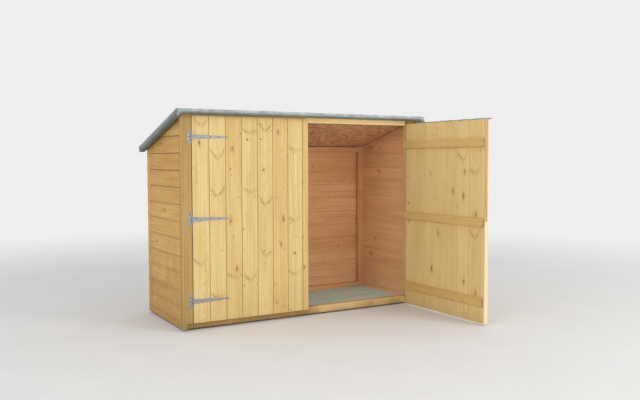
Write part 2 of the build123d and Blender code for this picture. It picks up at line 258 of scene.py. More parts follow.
def softwood_group():
    """Yearly rings round a leaning heart, with knots, spike knots across the board and fine fibre.
    Lay is in millimetres: x along the board, y across from its middle, z in from its face."""
    net, given = new_group("softwood", {
        "vector": ("Lay", "Spikes", "Eyes", "Edges"),
        "colour": ("Pale", "Dark", "Knot"),
        "number": ("Board", "Tone", "Ring Gap", "Figure", "Knots", "Specks", "Patches", "Edge Dirt And Shade"),
    }, SURFACE)
    board = given["Board"]
    x, y, z = net.parts(given["Lay"])
    near_foot, near_head, half_width = net.parts(given["Edges"])
    luck = net.dice(board * 913.7, "1D")
    more = net.dice(net.math("MULTIPLY_ADD", board, 577.3, 3.1), "1D")
    place = net.vector("ADD", given["Lay"], net.joined(board * 7411.0, board * 2903.0, board * 1709.0))
    slow = net.noise(net.scaled(place, (0.0021, 0.010, 0.010))) - 0.5
    sway = net.noise(net.scaled(place, (0.0034, 0.006, 0.006), (37, 11, 5)), detail=1.0) - 0.5
    ripple = net.noise(net.scaled(place, (0.011, 0.07, 0.07)), detail=3.0) - 0.5
    grain_break = net.noise(net.scaled(place, (0.05, 0.11, 0.02), (9, 70, 3)))

    def spike_knot(k, level):
        """Two arms rising from the board's middle at the given height, and the bent grain round them."""
        roll = net.dice(net.joined(level, board * 97.0, float(k)))
        sideways = y + (roll[2] * 16.0 + -8.0)
        reach = abs(sideways)
        side = sideways > 0.0
        slope = side * (roll[0] - 0.5) * 0.8 + (roll[1] * 0.75 + 0.28)
        arm = ripple * 34.0 + (x - level - (reach / 40.0) ** 1.35 * 40.0 * slope)
        second = abs(abs(arm - 9.0) - roll[2] * 3.0) + 2.2
        line = net.remap(net.math("MINIMUM", abs(arm), second), 4.6, 1.2)
        broken = net.remap(side * (roll[2] * 0.2 + -0.1) + grain_break, 0.36, 0.50)
        body = net.remap(reach, 2.0, 12.0) * net.remap(reach, 58.0, 44.0)
        faint = side * (roll[2] > 0.62) * -0.85 + 1.0
        bent = net.remap(abs(arm), 30.0, 3.0) * net.remap(reach, 60.0, 25.0)
        return body * faint * broken * line * (roll[0] * 0.3 + 0.7), bent

    def eye_knot(k, level):
        """A dark slanting heart at the given height, in a redder swirl."""
        roll = net.dice(net.joined(level, board * 53.0, k + 7.0))
        aside = y - (roll[0] * 52.0 + -26.0)
        local = ripple * 16.0 + (x - level + aside * (roll[1] * 2.2 + -1.1))
        size = roll[2] * 0.7 + 0.85
        core = net.vector("LENGTH", net.joined(local / 10.0, aside / 5.0)) / size
        ring = net.vector("LENGTH", net.joined(local / 31.0, aside / 12.0)) / size
        return net.remap(core, 1.15, 0.6), net.remap(ripple * 1.1 + ring, 1.1, 0.4)

    def three(knot, levels):
        return (net.most(*found) for found in zip(*(knot(k, level) for k, level in enumerate(net.parts(levels)))))

    def scattered(x, y, wide, high, seed, stretch, unevenness, size):
        """Marks, one to a cell of the given size: how many radii off they lie, and the cell's chance."""
        at = net.joined(x / wide, y / high, seed)
        tint, middle, _ = net.cells(at)
        gap = net.vector("LENGTH", net.vector("MULTIPLY", net.vector("SUBTRACT", at, middle), stretch))
        return (ripple * unevenness + gap) / size(tint[1]), tint[0]

    # Knots stay on the broad faces: a board's narrow sides are clear
    broad = net.remap(half_width - abs(y), 0.2, 1.3)
    spike, halo = three(spike_knot, given["Spikes"])
    eye, swirl = three(eye_knot, given["Eyes"])
    spike, eye, swirl = spike * broad, eye * broad, swirl * broad
    often = given["Knots"] * (given["Tone"] * 1.6 + 0.25)
    knot_off, knot_chance = scattered(
        x, y, 190.0, 96.0, board * 61.0, (190.0, 96.0, 0.0), 1.5, lambda roll: roll ** 2.0 * 5.9 + 2.6
    )
    kept = (knot_chance < often) * broad
    knot = net.remap(knot_off, 1.15, 0.8) * kept
    knot_heart = net.remap(knot_off, 0.55, 0.15) * kept
    knot_halo = net.remap(knot_off, 3.2, 0.9) * kept
    speck_off, speck_chance = scattered(
        x, y, 58.0, 38.0, board * 61.0 + 5.0, (58.0, 38.0, 0.0), 1.5, lambda roll: roll ** 2.0 * 1.9 + 1.1
    )
    speck = net.remap(speck_off, 1.3, 0.6) * (speck_chance < given["Specks"]) * broad
    fleck_off, fleck_chance = scattered(
        y * 0.45 + x, y, 210.0, 62.0, board * 83.0 + 21.0, (210.0, 161.2, 0.0), 9.0, lambda roll: roll * 7.0 + 5.0
    )
    fleck = net.remap(fleck_off, 1.1, 0.35) * (fleck_chance < often * broad * 1.3)

    # Rings, pushed aside by the knots
    ring_y = y - (luck[0] * 70.0 + -35.0) + slow * 34.0
    ring_z = sway * 46.0 + (z + (luck[1] * 50.0 + 16.0) + (more[0] * 0.10 + -0.05) * x)
    radius = net.math("SQRT", ring_y ** 2.0 + ring_z ** 2.0) + halo * 12.0 + knot_halo * 5.5 + swirl * 11.0
    ring = net.math("FRACT", ripple * 0.9 + radius / given["Ring Gap"])
    late = ring ** 2.4 * net.remap(ring, 1.0, 0.9)
    patch = net.noise(net.scaled(place, (0.0026, 0.016, 0.016), (3, 41, 17)), detail=3.0)
    fibre = net.noise(net.scaled(place, (0.022, 1.1, 1.1)))
    streak = net.noise(net.scaled(place, (0.0016, 0.16, 0.16), (5, 23, 61)), detail=3.0)
    # Dark lines at the edge_lines places: dirt in the door joints, and painted shade under the overlap boards' laps
    # and in the right door's back groove.
    edge = net.most(net.remap(abs(near_foot), 3.4, 0.4), net.remap(abs(near_head), 3.4, 0.4))

    deep = net.mix(0.62, given["Dark"], given["Knot"])
    colour = net.mix((patch - 0.5) * given["Patches"] + given["Tone"], given["Pale"], given["Dark"])
    for share, tint in (
        (late * (given["Figure"] * net.remap(patch, 0.25, 0.75, 0.45, 1.25)), deep),
        (net.remap(streak, 0.42, 0.72) * given["Figure"], deep),
        (net.remap(fibre, 0.35, 0.75) * 0.18, deep),
        (net.most(halo, knot_halo) * 0.20, deep),
        (swirl * 0.60, deep),
        (spike * 0.92, given["Knot"]),
        (eye * 0.86, given["Knot"]),
        (knot * 0.78, given["Knot"]),
        (knot_heart * 0.45, (0.035, 0.016, 0.007, 1)),
        (speck * 0.72, given["Knot"]),
        (fleck * 0.70, given["Knot"]),
        (edge * net.remap(fibre, 0.1, 0.5, 0.6, 1.0) * given["Edge Dirt And Shade"], given["Knot"]),
    ):
        colour = net.mix(share, colour, tint)
    marks = net.most(knot, speck, spike)
    rough = fibre * 0.14 + (marks * -0.12 + 0.60)
    return net.give(Color=colour, Roughness=rough, Height=late * 0.35 + (fibre * 0.5 + marks * 0.4))


def weather_group():
    """Splashed and greened near the ground, in patches."""
    takes = {"colour": ("Color", "Grime"), "number": ("Reach", "Amount")}
    net, given = new_group("ground splash", takes, {"colour": ("Color",)})
    place = net.here()
    patches = net.noise(net.scaled(place, (9.0, 9.0, 5.0)), detail=4.0, roughness=0.62)
    level = (patches - 0.5) * 1.6 + net.parts(place)[2] / given["Reach"]
    return net.give(Color=net.mix(net.remap(level, 1.0, -0.1) * given["Amount"], given["Color"], given["Grime"]))


def zinc_group():
    """Zinc coat: faint crystals and dull streaks."""
    net, given = new_group("zinc coat", {"colour": ("Light", "Dull")}, SURFACE)
    place = net.here()
    tint = net.cells(net.scaled(place, (420.0, 420.0, 420.0)))[0][0]
    cloud = net.noise(net.scaled(place, (70.0, 70.0, 70.0)), detail=3.0)
    colour = net.mix(tint * 0.45 + cloud * 0.7, given["Light"], given["Dull"])
    return net.give(Color=colour, Roughness=tint * 0.16 + (cloud * 0.25 + 0.30), Height=cloud * 0.6 + tint * 0.3)


def felt_group():
    """Mineral felt: fine stone chips pressed in bitumen, with washed patches."""
    takes = {"colour": ("Chip", "Bare", "Sheen_And_Bleach_Grey"), "number": ("Sheen_And_Bleach",)}
    net, given = new_group("mineral felt", takes, SURFACE)
    place = net.here()
    tint = net.cells(net.scaled(place, (620.0, 620.0, 620.0)))[0]
    wash = net.noise(net.scaled(place, (3.2, 7.0, 7.0)), detail=5.0, roughness=0.6)
    run = net.noise(net.scaled(place, (26.0, 2.0, 9.0)))
    blotch = net.noise(net.scaled(place, (22.0, 30.0, 90.0)), detail=3.0)
    colour = net.mix(net.remap(tint[0], 0.1, 0.9, 0.0, 0.75), given["Chip"], given["Bare"])
    colour = net.mix(net.remap(tint[1], 0.82, 0.95, 0.0, 0.5), colour, (0.62, 0.64, 0.6, 1))
    colour = net.mix(net.remap(run * 0.35 + wash, 0.5, 0.95) * 0.55, colour, given["Bare"])
    # Painted sheen: where the felt's pale layer is high the felt turns pale grey. This is a painted highlight on the
    # front edge, the verges and the front corners. On the door's drip strip the same layer gives random pale patches.
    colour = net.mix(net.remap(blotch, 0.25, 0.65, 0.55, 0.95) * given["Sheen_And_Bleach"], colour, given["Sheen_And_Bleach_Grey"])
    return net.give(Color=colour, Roughness=tint[2] * 0.18 + (wash * -0.15 + 0.86), Height=wash * 0.6 + tint[0])


def strand_group():
    """Strand board: broad shavings lying flat in many directions."""
    net, given = new_group("strand board", {"colour": ("Light", "Dark", "Glue")}, SURFACE)
    place = net.here()
    warp = net.noise(net.scaled(place, (9.0, 9.0, 9.0)), detail=1.0)
    colour, levels = given["Dark"], []
    for turn, seed, long, short in ((0.35, 1.0, 15.0, 68.0), (1.9, 7.0, 13.0, 55.0), (2.75, 13.0, 17.0, 74.0)):
        inputs = {"Vector": place, "Axis": (0, 0, 1), "Angle": turn}
        x, y, _ = net.parts(net.place("ShaderNodeVectorRotate", inputs, rotation_type="AXIS_ANGLE"))
        tint, _, far = net.cells(net.joined(x * long, (warp * 0.05 + y) * short, seed), "2D")
        shows = tint[2] > 0.42
        grain = net.noise(net.joined(x * 30.0, y * 900.0, seed))
        flake = net.mix(grain * 0.45 + tint[0] * 0.7, given["Light"], given["Dark"])
        flake = net.mix(net.remap(far, 0.50, 0.86) * 0.55, flake, given["Glue"])
        colour = net.mix(shows, colour, flake)
        levels.append(shows * (tint[1] * 0.8 + 0.2))
    height = net.most(*levels)
    return net.give(Color=colour, Roughness=height * -0.15 + 0.72, Height=height)


SOFTWOOD, WEATHER, ZINC = softwood_group(), weather_group(), zinc_group()
MINERAL_FELT, STRAND = felt_group(), strand_group()
# What the pieces' points carry for the groups, and the attribute output that each is read from
LAYERS = {"Lay": "Vector", "Board": "Fac", "Tone": "Fac", "Spikes": "Vector", "Eyes": "Vector", "Edges": "Vector",
          "Sheen_And_Bleach": "Fac"}


def new_material(name):
    made = bpy.data.materials.new(name)
    made.use_nodes = True
    made.node_tree.nodes.clear()
    net = Net(made.node_tree)
    shader = net.node("ShaderNodeBsdfPrincipled")
    net.node("ShaderNodeOutputMaterial", {0: Wire(net, shader.outputs[0])})
    return made, net, shader


def surface(name, group, inputs, metallic=0.0, specular=0.5, bump=0.3, depth=0.0004, splash=None):
    """A material whose colour, roughness and height come from a shared group. splash is (amount, reach, grime)."""
    made, net, shader = new_material(name)
    figure = net.node("ShaderNodeGroup", node_tree=group)
    for socket in figure.inputs:
        if socket.name in LAYERS:
            net.feed(socket, net.place("ShaderNodeAttribute", output=LAYERS[socket.name],
                                       attribute_name=socket.name.lower(), attribute_type="GEOMETRY"))
        else:
            value = inputs[socket.name]
            socket.default_value = srgb(*value) if isinstance(value, tuple) else value
    colour, rough, height = (Wire(net, figure.outputs[key]) for key in ("Color", "Roughness", "Height"))
    if splash:
        amount, reach, grime = splash
        ground = {"Color": colour, "Grime": srgb(*grime), "Reach": reach, "Amount": amount}
        colour = net.place("ShaderNodeGroup", ground, node_tree=WEATHER)
    normal = net.place("ShaderNodeBump", {"Strength": bump, "Distance": depth, "Height": height})
    for key, value in (("Base Color", colour), ("Roughness", rough), ("Normal", normal), ("Metallic", metallic),
                       ("Specular IOR Level", specular)):
        net.feed(shader.inputs[key], value)
    return made


def wood(name, pale, dark, knot, ring_gap=3.8, figure=0.45, knots=0.3, specks=0.12, patches=0.9, edge_dirt_and_shade=0.0,
         splash=None):
    inputs = {"Pale": pale, "Dark": dark, "Knot": knot, "Ring Gap": ring_gap, "Figure": figure, "Knots": knots,
              "Specks": specks, "Patches": patches, "Edge Dirt And Shade": edge_dirt_and_shade}
    return surface(name, SOFTWOOD, inputs, specular=0.3, bump=0.35, depth=0.0006, splash=splash)


MUD = (96, 88, 58)
door_wood = wood("door matchboard", (223, 204, 143), (211, 176, 112), (126, 70, 28), ring_gap=5.4, figure=0.38,
                 knots=0.34, specks=0.36, edge_dirt_and_shade=0.50, splash=(0.15, 0.34, (158, 116, 66)))
door_back = wood("door matchboard inside", (239, 211, 149), (225, 193, 127), (140, 86, 42), ring_gap=6.4,
                 figure=0.16, knots=0.11, specks=0.58, patches=1.1, edge_dirt_and_shade=0.16, splash=(0.2, 0.16, MUD))
door_edge = wood("door closing edge", (224, 188, 140), (202, 156, 108), (120, 72, 40), ring_gap=2.6, figure=0.6,
                 knots=0.2, specks=0.2)
# Ledge ends are darker: end grain, and also painted shade on the end faces.
ledge_end = wood("door ledge end", (196, 156, 98), (168, 124, 72), (104, 66, 32), ring_gap=3.0, figure=0.7,
                 knots=0.1, specks=0.2)
ledge_wood = wood("door ledge", (226, 192, 124), (210, 172, 102), (116, 72, 34), figure=0.36, knots=0.22)
frame_wood = wood("corner board", (187, 153, 95), (165, 129, 73), (96, 66, 32), ring_gap=6.2, figure=0.42,
                  specks=0.14, splash=(0.45, 0.30, (120, 112, 66)))
rail_wood = wood("frame timber", (232, 202, 144), (216, 178, 112), (120, 76, 36), figure=0.40, knots=0.26,
                 specks=0.14, splash=(0.4, 0.10, MUD))
# The sill's dark colour serves as the painted shadow of the closed door.
sill_wood = wood("sill", (236, 202, 142), (162, 129, 72), (110, 72, 36), knots=0.26, specks=0.14, patches=0.5,
                 splash=(0.6, 0.07, (118, 86, 52)))
inner_wood = wood("inside timber", (236, 184, 134), (216, 156, 106), (124, 72, 40), figure=0.40, knots=0.24)
side_wood = wood("overlap board", (224, 186, 113), (204, 157, 84), (134, 80, 34), ring_gap=5.6, figure=0.46,
                 knots=0.46, specks=0.22, patches=1.0, edge_dirt_and_shade=0.95, splash=(0.5, 0.60, (158, 108, 60)))
side_inner = wood("overlap board inside", (248, 200, 150), (222, 162, 112), (132, 78, 44), ring_gap=5.6,
                  figure=0.34, edge_dirt_and_shade=0.40)
floor_wood = wood("floor board", (224, 252, 250), (203, 230, 223), (126, 130, 120), ring_gap=3.4, figure=0.34,
                  knots=0.18, specks=0.1, patches=1.2)
lath_wood = wood("closing lath", (241, 219, 178), (229, 199, 152), (140, 88, 42), ring_gap=3.6, figure=0.3,
                 knots=0.2, specks=0.1)
# Painted light: the lintel is paler than the frame timber, so it shows lit though the roof lip shades it.
lit_lintel_wood = wood("lintel", (252, 234, 182), (244, 216, 154), (132, 84, 40), figure=0.35, knots=0.22)
# Painted shade: the bearers are coloured darker than their timber so the gap under the sill reads as dark shade.
bearer_shade_wood = wood("bearer", (92, 76, 52), (72, 58, 38), (60, 44, 26), figure=0.4, specks=0.15)
zinc = surface("galvanised steel", ZINC, {"Light": (158, 155, 151), "Dull": (132, 129, 127)}, metallic=0.5, bump=0.2)
screw_zinc = surface("screw head", ZINC, {"Light": (118, 116, 114), "Dull": (84, 82, 82)}, metallic=0.6, bump=0.2)
nail_steel = surface("nail head", ZINC, {"Light": (112, 92, 72), "Dull": (74, 60, 46)}, metallic=0.4)
roof_felt = surface("roofing felt", MINERAL_FELT, {"Chip": (128, 138, 128), "Bare": (78, 88, 82),
                    "Sheen_And_Bleach_Grey": (186, 189, 191)}, specular=0.25, bump=0.5, depth=0.0006)
strand = surface("strand board", STRAND, {"Light": (242, 198, 156), "Dark": (190, 138, 100), "Glue": (124, 80, 54)},
                 specular=0.3, bump=0.4, depth=0.0005)


# ---- boards and timbers ----
UP, EAST, NORTH = Vector((0, 0, 1)), Vector((1, 0, 0)), Vector((0, 1, 0))
SLOPE = Vector((0, math.sin(ROOF_PITCH), math.cos(ROOF_PITCH)))
DOWN_SLOPE = Vector((0, math.cos(ROOF_PITCH), -math.sin(ROOF_PITCH)))
ROOF_EDGE = Vector((0, ROOF_FRONT, ROOF_TOP))
UNDER_ROOF, BELOW_ROOF, UNDER_RAIL = (
    (ROOF_EDGE - SLOPE * (FELT + ROOF_BOARD + clear), SLOPE) for clear in (0.0, 2.6, 7.5)
)


def corners(node):
    """The two corners of a solid's box, in millimetres."""
    return (corner * 1000 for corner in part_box(node))


def skin(mesh, rings):
    """Faces round a row of rings, and a cap on each end."""
    made = []
    for first, second in zip(rings, rings[1:]):
        for i in range(len(first)):
            j = (i + 1) % len(first)
            made.append(mesh.faces.new((first[i], first[j], second[j], second[i])))
    return made + [mesh.faces.new(rings[0][::-1]), mesh.faces.new(rings[-1])]


def as_piece(mesh, name, materials, body, slot, *stands_for):
    """Turns a finished mesh into an object that rides with a body."""
    data = bpy.data.meshes.new(name)
    mesh.to_mesh(data)
    mesh.free()
    made = bpy.data.objects.new(name, data)
    bpy.context.scene.collection.objects.link(made)
    for material in materials:
        data.materials.append(material)
    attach(made, body)
    if stands_for:
        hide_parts(*stands_for)


class Joinery:
    """Collects boards into one mesh. Each keeps its own lay: along, across and in from the face."""

    def __init__(self):
        self.mesh = bmesh.new()
        numbers, vectors = self.mesh.verts.layers.float, self.mesh.verts.layers.float_vector
        self.lay, self.board, self.tone = vectors.new("lay"), numbers.new("board"), numbers.new("tone")
        self.spikes, self.eyes, self.edges = (vectors.new(name) for name in ("spikes", "eyes", "edges"))

    def add(self, outline, length, origin, along, across, inward, board=None, tone=None, tone_at=None, middle=0.0,
            stations=2, shape=None, cuts=(), spikes=(), eyes=(), edge_lines=(-NOWHERE, NOWHERE), back=None, end=None,
            side=None):
        """A board of the given outline [(across, in), ...]. shape(along, across, in) may move a point a little.
        back, end and side are the numbers of those faces' materials, where they have their own."""
        board = chance.random() if board is None else board
        tone = chance.uniform(0.05, 0.75) if tone is None else tone
        spikes, eyes = (Vector((*marks, *[-NOWHERE] * 3)[:3]) for marks in (spikes, eyes))
        foot_line, head_line = edge_lines
        half = max(abs(c - middle) for c, d in outline)
        rings = []
        for k in range(stations + 1):
            a = length * k / stations
            rings.append([])
            for c, d in outline:
                da, dc, dd = shape(a, c, d) if shape else (0.0, 0.0, 0.0)
                place = origin + along * (a + da) + across * (c + dc) + inward * (d + dd)
                vert = self.mesh.verts.new(place * MM)
                vert[self.lay] = Vector((a, c - middle, d))
                vert[self.board], vert[self.tone] = board, tone_at(a) if tone_at else tone
                vert[self.spikes], vert[self.eyes] = spikes, eyes
                vert[self.edges] = Vector((c - foot_line, c - head_line, half))
                rings[-1].append(vert)
        made = skin(self.mesh, rings)
        for point, normal in cuts:
            made = self.cut(made, point, normal)
        bmesh.ops.recalc_face_normals(self.mesh, faces=made)
        for face in made:
            wanted = ((face.normal.dot(inward), back), (abs(face.normal.dot(along)), end),
                      (face.normal.dot(across), side))
            face.material_index = next((index for share, index in wanted if share > 0.5 and index is not None), 0)

    def cut(self, faces, point, normal):
        """Saws a board off at a plane and closes the cut."""
        parts = [*{edge for face in faces for edge in face.edges}, *faces, *{v for face in faces for v in face.verts}]
        done = bmesh.ops.bisect_plane(
            self.mesh, geom=parts, plane_co=point * MM, plane_no=normal, clear_outer=True, dist=1e-6
        )
        rim = [e for e in done["geom_cut"] if isinstance(e, bmesh.types.BMEdge)]
        kept = [f for f in faces if f.is_valid]
        kept += [f for f in done["geom"] if isinstance(f, bmesh.types.BMFace) and f.is_valid and f not in kept]
        kept += bmesh.ops.contextual_create(self.mesh, geom=rim)["faces"]
        return [f for f in kept if f.is_valid]


def eased(width, thickness, ease=1.3):
    """A sawn timber's section, its four arrises taken off."""
    return [
        (ease, 0), (width - ease, 0), (width, ease), (width, thickness - ease),
        (width - ease, thickness), (ease, thickness), (0, thickness - ease), (0, ease),
    ]


def chamfered(width, thickness, chamfer=3.0):
    """A planed lath's section, with two broad arrises on its face."""
    return [(chamfer, 0), (width - chamfer, 0), (width, chamfer), (width, thickness), (0, thickness), (0, chamfer)]


def timber(node, along, across, inward, material, slot="frame_timber", back=None, ease=1.3, **more):
    """A straight timber in the place of a solid: grain along one side of its box."""
    low, high = corners(node)
    facing = along + across + inward
    origin = Vector([low[i] if facing[i] > 0 else high[i] for i in range(3)])
    length, width, thick = (abs((high - low).dot(axis)) for axis in (along, across, inward))
    work = Joinery()
    more.setdefault("stations", 4)
    work.add(eased(width, thick, ease), length, origin, along, across, inward, middle=width / 2,
             back=1 if back else None, **more)
    as_piece(work.mesh, node + "_piece", [material, back] if back else [material], "shelter", slot, node)


def floor_boards(count=6):
    """The floor's one sheet as tongued boards that lie across the store, with open joints of 1.2 mm."""
    low, high = corners("floor")
    work = Joinery()
    cover = (high.y - low.y) / count
    joint, bevel, tongue_top, thick = 0.6, 0.8, 4.0, 10.0
    for k in range(count):
        outline = [
            (joint, 1.0), (joint + bevel, 0), (cover - joint - bevel, 0), (cover - joint, 1.0),
            (cover - joint, tongue_top), (cover, tongue_top), (cover, thick), (0, thick), (0, tongue_top),
            (joint, tongue_top),
        ]
        start = Vector((low.x, low.y + k * cover, high.z))
        work.add(outline, high.x - low.x, start, EAST, NORTH, -UP, stations=6, middle=cover / 2)
    as_piece(work.mesh, "floor_boards", [floor_wood], "shelter", "floor_boards", "floor")


def sill_shadow_tone(a, doorway=930.0):
    """Painted shadow: the sill is darker under the closed door, which shades it, and lighter in the doorway."""
    return 0.95 if a < doorway else 0.12


def corner_board(label, side):
    """A board notched at its foot for the sill, in one length of grain."""
    low, high = corners(f"{label}_corner_board")
    outer = Vector((high.x if side > 0 else low.x, low.y, low.z))
    work = Joinery()
    same = {"board": chance.random(), "middle": 36.0}
    run = (UP, EAST * -side, NORTH)
    thick, tall = high.y - low.y, high.z - low.z
    work.add(eased(CORNER_LEG, thick), CORNER_NOTCH, outer, *run, **same)
    work.add(eased(high.x - low.x, thick), tall - CORNER_NOTCH, outer + UP * CORNER_NOTCH, *run, cuts=(UNDER_ROOF,),
             stations=8, **same)
    as_piece(work.mesh, f"{label}_corner_board_piece", [frame_wood], "shelter", "frame_timber",
             f"{label}_corner_board")


def board_feet(bottom, first, top):
    """The heights of the lapped boards' lower edges. The lowest board may show less than the others."""
    feet = [bottom, bottom + first]
    while feet[-1] + BOARD_PITCH < top:
        feet.append(feet[-1] + BOARD_PITCH)
    return feet


def lapped_boards(side, node, inward, corner, run, length, bottom, first, stations, seed, tones=(0.05, 0.75)):
    """Leaning, lapped boards. inward is from the wall's face, corner a point on the face's foot line."""
    work = Joinery()
    feet = board_feet(bottom, first, ROOF_TOP)
    for k, low in enumerate(feet):
        lap_line = feet[k + 1] - low if k + 1 < len(feet) else NOWHERE
        tall = lap_line + BOARD_LAP if k + 1 < len(feet) else ROOF_TOP + 20.0 - low
        hollow = [(tall * share, BOARD_LEAN * tall * share - 0.25) for share in (0.33, 0.66)]
        outline = [(0.0, 1.4), (0.5, 0.5), (1.6, 0.0), *hollow, (tall, BOARD_LEAN * tall),
                   (tall, BOARD_LEAN * tall + BOARD_TOP_THICKNESS), (0.0, BOARD_THICKNESS)]
        phase = seed + k * 7.3

        def wavy(a, c, d, phase=phase):
            wave = wander(a * 0.011, phase) * 1.7 + wander(a * 0.045, phase, 4.0) * 0.6
            return 0.0, wave * max(0.0, 1.0 - c / 22.0), max(0.0, wander(a * 0.004, phase, 8.0) * 0.7)

        eyes = [chance.uniform(60, length - 60) for _ in range(chance.choice((0, 0, 1, 1)))]
        # edge_lines darkens each board's lower edge and the line where the board above laps it: painted shade under
        # the laps, with some dirt.
        work.add(outline, length, corner + UP * low, run, UP, inward, tone=chance.uniform(*tones), stations=stations,
                 shape=wavy, cuts=(BELOW_ROOF,), middle=tall / 2, back=1, eyes=eyes, edge_lines=(0.0, lap_line))
    as_piece(work.mesh, f"{side}_overlap_boards", [side_wood, side_inner], "shelter", "cladding", node)


for name in ("front", "middle", "back"):
    timber(f"floor_bearer_{name}", EAST, NORTH, UP, bearer_shade_wood, "sawn_timber", ease=1.5)
floor_boards()
timber("front_sill", EAST, UP, NORTH, sill_wood, stations=16, tone_at=sill_shadow_tone)
timber("front_lintel", EAST, UP, NORTH, lit_lintel_wood, cuts=(UNDER_ROOF,))
for label in DOORS:
    timber(f"{label}_front_stud", UP, EAST, NORTH, rail_wood, cuts=(UNDER_ROOF,), back=inner_wood)
for label, facts in DOORS.items():
    corner_board(label, facts["side"])
SIDE_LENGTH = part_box("left_wall")[1].y * 1000 - FRONT
lapped_boards("left", "left_wall", EAST, Vector((-HALF_WIDTH, FRONT, 0)), NORTH, SIDE_LENGTH, SIDE_FOOT,
              FIRST_SIDE_BOARD, 22, 1.0)
lapped_boards("right", "right_wall", -EAST, Vector((HALF_WIDTH, FRONT, 0)), NORTH, SIDE_LENGTH, SIDE_FOOT,
              FIRST_SIDE_BOARD, 22, 31.0, tones=(0.0, 0.30))
lapped_boards("back", "back_wall", -NORTH, Vector((-HALF_WIDTH, BACK, 0)), EAST, 2 * HALF_WIDTH, BACK_FOOT,
              BOARD_PITCH, 48, 61.0, tones=(0.25, 0.85))
timber("left_side_sill", NORTH, UP, EAST, side_wood, "cladding", back=side_inner)
timber("right_side_sill", NORTH, UP, -EAST, side_wood, "cladding", back=side_inner)
for node, outward in (("back_left_stud", -EAST), ("back_right_stud", EAST)):
    timber(node, UP, NORTH, outward, inner_wood, cuts=(UNDER_ROOF,), back=side_wood)
timber("back_middle_stud", UP, EAST, NORTH, inner_wood)
timber("back_bottom_rail", EAST, UP, NORTH, inner_wood)
timber("back_top_rail", EAST, UP, NORTH, inner_wood, cuts=(UNDER_RAIL,))


# ---- doors ----
def door_frame(label):
    """Pin place, direction along the door and direction in towards the store, as the door stands."""
    facts = DOORS[label]
    turn = Matrix.Rotation(math.radians(facts["side"] * facts["opened"]), 3, "Z")
    return Vector((facts["side"] * PIN_X, PIN_Y, 0)), turn @ (EAST * -facts["side"]), turn @ NORTH


def matchboards(label):
    """Tongued boards with a V joint, the last one cut narrow and grooved behind for the bead."""
    facts = DOORS[label]
    pin, along, inward = door_frame(label)
    work = Joinery()
    count = len(DOOR_MARKS[label])
    gap, deep, thick, half = 0.35, 5.0, DOOR_THICKNESS, DOOR_THICKNESS / 2
    for k in range(count):
        start, first, last = k * MATCHBOARD, k == 0, k == count - 1
        width = min(MATCHBOARD, DOOR_WIDTH - start)
        a, near = (0.0, 1.0) if first else (gap, 2.6)
        b, far = (width, 1.0) if last else (width - gap, 2.6)
        outline = [(a + near, 0), (b - far, 0), (b, far), (b, half - 2.2), (b - deep, half - 2.2),
                   (b - deep, half + 2.2), (b, half + 2.2), (b, thick - far), (b - far, thick)]
        if last:
            outline += [(b - 4.0, thick), (b - 4.0, 11.5), (b - 9.0, 11.5), (b - 9.0, thick)]
        outline += [(a + near, thick), (a, thick - near)]
        if not first:
            outline += [(a, half + 1.9), (a - deep, half + 1.9), (a - deep, half - 1.9), (a, half - 1.9)]
        outline += [(a, near)]
        phase = k * 5.1 + (40.0 if label == "right" else 0.0)
        # On the right door's last board the dark line lies along the back groove: painted shade in the groove.
        head_line = b if not last else b - 6.5 if label == "right" else NOWHERE

        def settled(a, c, d, phase=phase):
            return 0.0, 0.0, wander(a * 0.002, phase, 2.0) * 0.35

        work.add(outline, facts["top"] - facts["bottom"],
                 pin + along * (DOOR_EDGE + start) + inward * DOOR_FACE + UP * facts["bottom"], UP, along, inward,
                 board=DOOR_MARKS[label][k], tone=DOOR_TONES[label][k], stations=14, shape=settled,
                 middle=(a + b) / 2, edge_lines=(-NOWHERE if first else a, head_line), spikes=SPIKE_KNOTS[label][k],
                 eyes=EYE_KNOTS[label][k], back=1, side=2 if last else None)
    as_piece(work.mesh, f"{label}_door_matchboards", [door_wood, door_back, door_edge], f"{label}_door",
             "door_boards", f"{label}_door_boards")


def ledge(label, place, height):
    """A cross batten on the door's back, chamfered also at its ends."""
    pin, along, inward = door_frame(label)
    z = DOORS[label]["bottom"] + height - LEDGE_TALL / 2
    origin = pin + along * LEDGE_START + inward * (DOOR_BACK + LEDGE_THICK) + UP * z
    length = LEDGE_END - LEDGE_START

    def ends(a, c, d):
        taper = 3.0 if d < 0.5 and (a < 0.1 or a > length - 0.1) else 0.0
        return (taper if a < 1.0 else -taper), 0.0, 0.0

    work = Joinery()
    work.add(chamfered(LEDGE_TALL, LEDGE_THICK), length, origin, along, UP, -inward, shape=ends, stations=8,
             middle=LEDGE_TALL / 2, end=1)
    node = f"{label}_door_ledge_{place}"
    as_piece(work.mesh, node + "_piece", [ledge_wood, ledge_end], f"{label}_door", "door_ledges", node)


def closing_lath(label):
    """The lath on the door's outer face that covers the joint between the doors, a little out of true."""
    pin, along, inward = door_frame(label)
    facts = DOORS[label]
    origin = pin + along * (CLOSING_EDGE - LATH_WIDTH) + inward * (DOOR_FACE - LATH_THICKNESS)

    def drift(a, c, d):
        return 0.0, wander(a * 0.004, 4.4) * 0.3, wander(a * 0.004, 4.4, 9.0) * 0.18

    work = Joinery()
    work.add(chamfered(LATH_WIDTH, LATH_THICKNESS), facts["top"] - facts["bottom"], origin + UP * facts["bottom"],
             UP, along, inward, stations=14, middle=LATH_WIDTH / 2, shape=drift, tone=0.2)
    node = f"{label}_door_closing_lath"
    as_piece(work.mesh, node + "_piece", [lath_wood], f"{label}_door", "door_boards", node)


